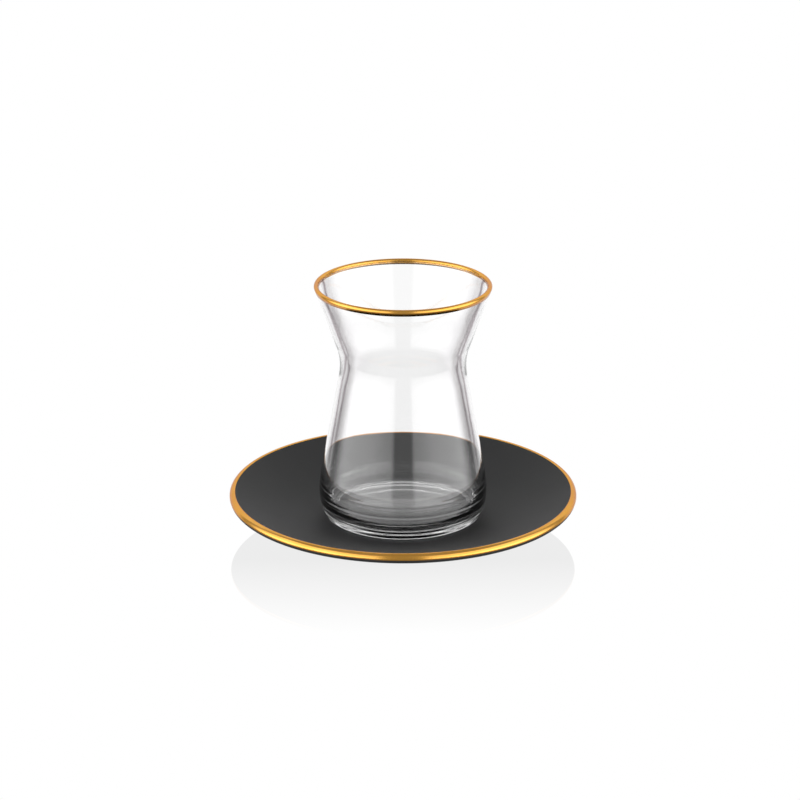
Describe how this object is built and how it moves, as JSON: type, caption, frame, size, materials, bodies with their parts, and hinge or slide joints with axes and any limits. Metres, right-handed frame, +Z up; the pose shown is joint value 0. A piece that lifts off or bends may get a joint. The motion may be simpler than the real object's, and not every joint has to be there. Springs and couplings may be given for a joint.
{
  "type": "waisted tea glass on its saucer",
  "caption": "Empty clear waisted tea glass with a flared gilded lip and a rounded heel, standing in the middle of a shallow dark satin saucer with a gilded rim.",
  "frame": {"origin": "the middle of the saucer's foot, on the surface it stands on", "axes": "+Z up, along the axis that both the glass and the saucer are turned about; X and Y are alike"},
  "size_m": [0.12, 0.12, 0.0894],
  "materials": {
    "clear_glass": "clear, fire-polished",
    "dark_glaze": "satin dark grey glaze",
    "gold": "burnished gilding"
  },
  "bodies": {
    "root": {"saucer": "dark_glaze", "saucer_gilding": "gold", "glass": "clear_glass", "glass_gilding": "gold"}
  },
  "joints": []
}
